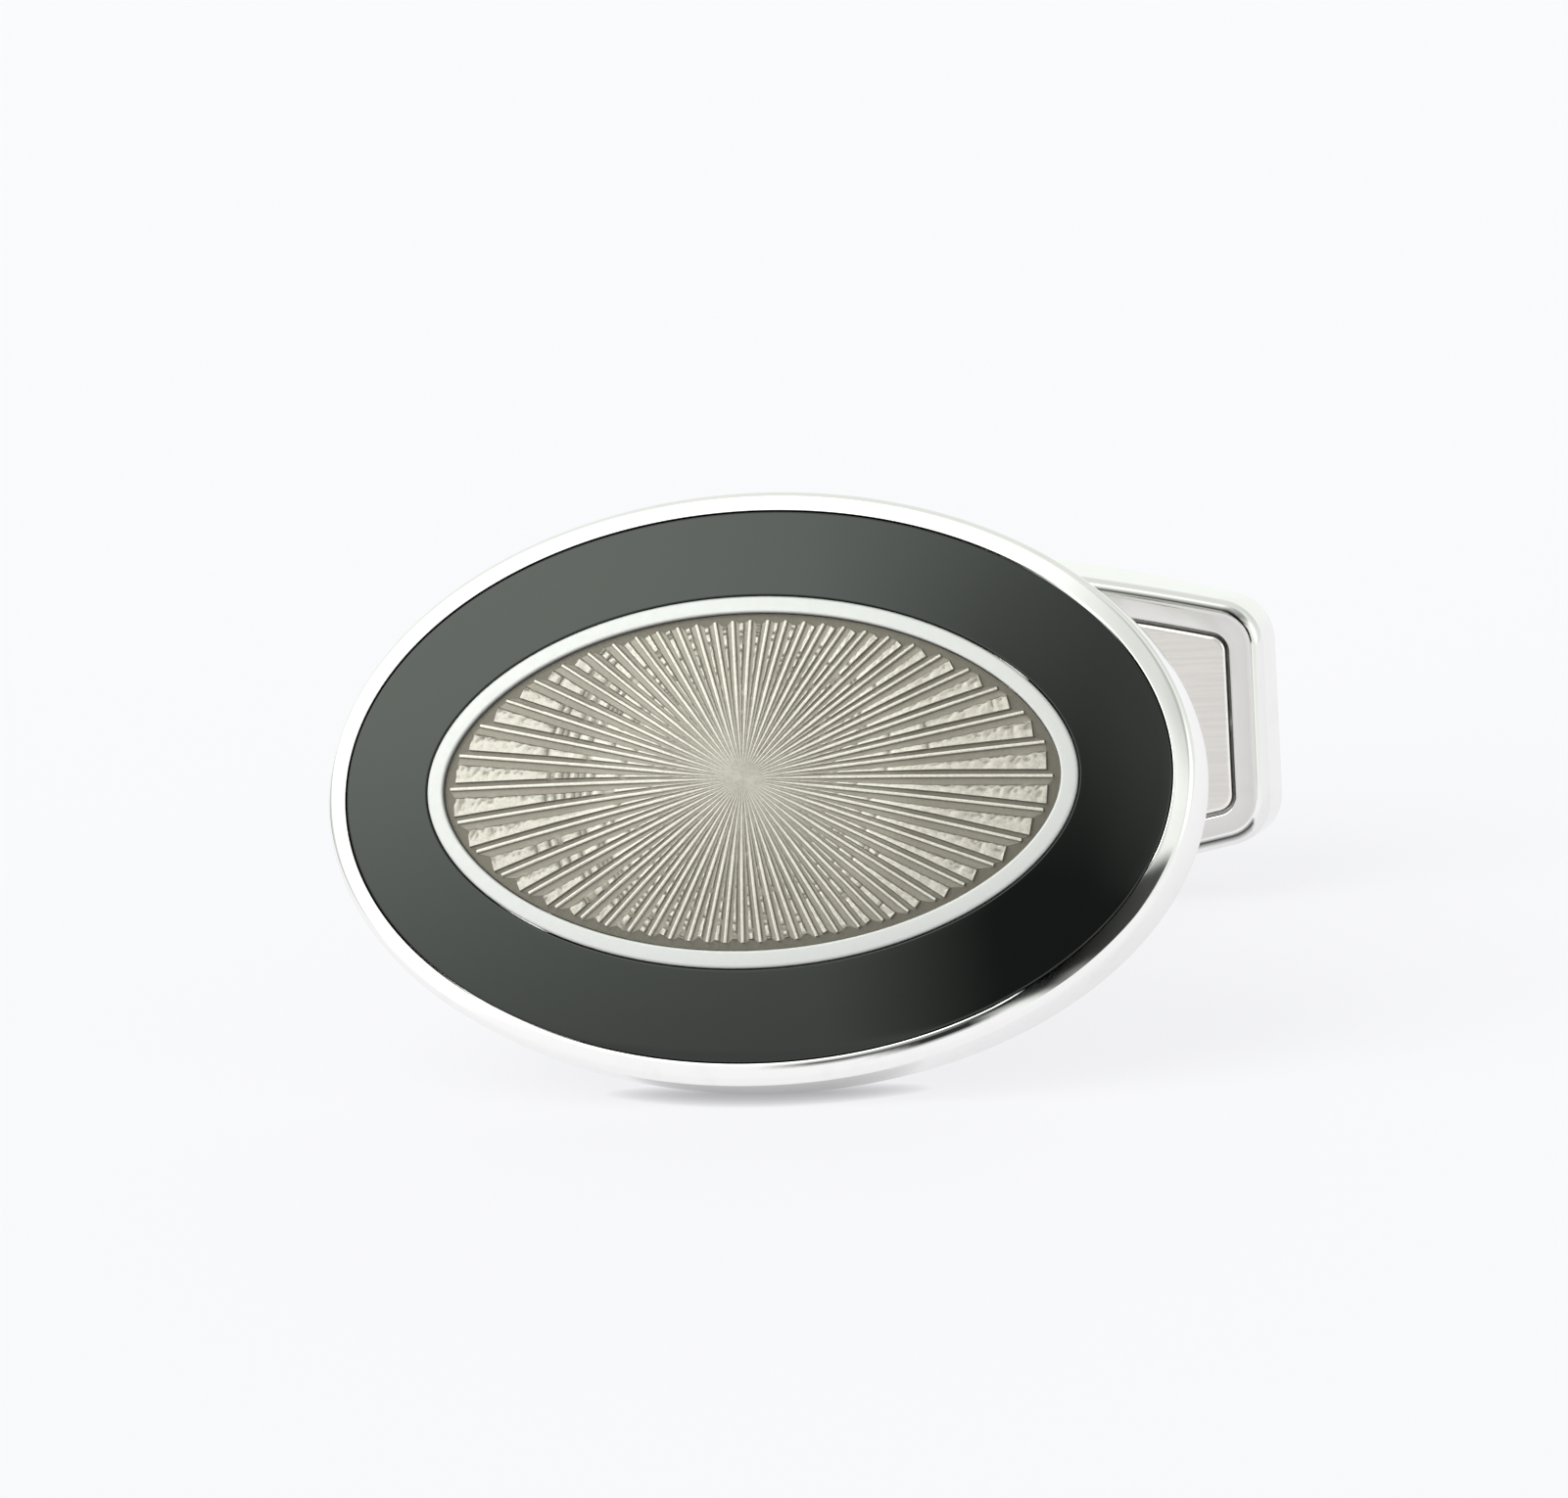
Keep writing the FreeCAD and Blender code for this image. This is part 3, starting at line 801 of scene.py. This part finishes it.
# Painted shade: a line along the long edges of the near face, and shade that deepens down into the groove.
marks[plain_rows] = edge_marks(rows[plain_rows], edge_shade_line / 2, shell_dull)
marks[plain_rows + 1] = edge_marks(rows[plain_rows + 1], edge_shade_line, 0.0)
marks[plain_rows + 2] = [0.0] * len(rows[0])
for step in range(groove_rows):
    marks[step - groove_rows] = [toggle_groove_shade * min(1.0, step / 4)] * len(rows[0])
shell = roll_up("toggle_shell_polished", rows, marks)
slot_low = (-toggle_half_length - overrun, -slot_half, -eye_half - cam_gap)
slot_high = (slot_end, slot_half, near_face + overrun)
cut_away(shell, block("slot", slot_low, slot_high))
cut_away(shell, block("chamber", (-slot_end, -slot_half, chamber_floor), (spring_seat, slot_half, near_face)))
cut_away(shell, block("seat", (0, -slot_half, spring_bottom), (spring_end, slot_half, near_face)))
cut_away(shell, rod("bore", pin_diameter / 2, toggle_mid_width))
finish_mesh(shell, toggle_place, smooth_angle=30)
dress(shell, "toggle", "polished_plate", polished, "toggle_shell")

# Toggle cover: the flat panel set into the shell's near face, which leaves an open groove inside the frame.
# It closes the spring's chamber and is soldered to the groove's floor.
cover_inset = frame_width + groove_width
panel_start = 0.05
rows = [toggle_loop(cover_inset, cover_corner_round, groove_floor)]
rows.insert(0, spine(rows[0]))
for drop, inset in rounding(cover_edge_round):
    rows.append(toggle_loop(cover_inset + inset, cover_corner_round - inset, near_face - drop))
flat_inset = cover_edge_round + panel_start
rows.append(toggle_loop(cover_inset + flat_inset, cover_corner_round - flat_inset, near_face))
rows.append(spine(rows[-1]))
cover = roll_up("toggle_cover_satin", rows)
cut_away(cover, block("slot", slot_low, slot_high))
finish_mesh(cover, toggle_place, smooth_angle=30)
panel_tone = (0.94, 0.916, 0.878, 1)
panel_dull = (0.89, 0.866, 0.828, 1)
panel_roughness, panel_grain = 0.16, 0.12
brushed, shader, steel = new_finish("brushed_plate", {"Metallic": 1.0})
spot = steel.node("TexCoord", {}, {}, "Object")
strokes = steel.node("Mapping", {}, {"Vector": spot, "Scale": (400.0, 12000.0, 12000.0)})
lines = steel.node("TexNoise", {}, {"Vector": strokes, "Scale": 1.0, "Detail": 3.0})
lines.ramp(0.35, 0.65).blend(panel_tone, panel_dull).into(shader, "Base Color")
(panel_roughness + lines * panel_grain).into(shader, "Roughness")
dress(cover, "toggle", "polished_plate", brushed, "toggle_cover")

# Pivot pin: a hard steel pin pressed through both sides of the shell, ground off a little below them.
# The stem's eye turns on it.
pin_sink = 0.06
pin_chamfer = 0.08
pin = rod("pivot_pin_steel", pin_diameter / 2, toggle_mid_width / 2 - pin_sink)
bpy.ops.object.mode_set(mode="EDIT")
round_edges(pin_chamfer, 2, lambda spot, run: abs(run.y) < 0.5)
bpy.ops.object.mode_set(mode="OBJECT")
finish_mesh(pin, toggle_place, smooth_angle=30)
dress(pin, "toggle", "polished_plate", polished, "pivot_pin")

# Detent spring: a blued leaf of spring steel, clamped under the cover. It bears on the flats of the stem's
# eye from inside the toggle, so only its edge shows in the slot. Its shape is the frame's own.
spring_tone = (0.30, 0.31, 0.33, 1)
spring_roughness, spring_grain = 0.25, 0.2
sprung, shader, steel = new_finish("spring_steel", {"Base Color": spring_tone, "Metallic": 1.0})
spot = steel.node("TexCoord", {}, {}, "Object")
drawn = steel.node("Mapping", {}, {"Vector": spot, "Scale": (300.0, 9000.0, 9000.0)})
lines = steel.node("TexNoise", {}, {"Vector": drawn, "Scale": 1.0, "Detail": 3.0})
(spring_roughness + lines * spring_grain).into(shader, "Roughness")
spring = bpy.data.objects["detent_spring"]
spring.data.materials.clear()
spring.data.materials.append(sprung)
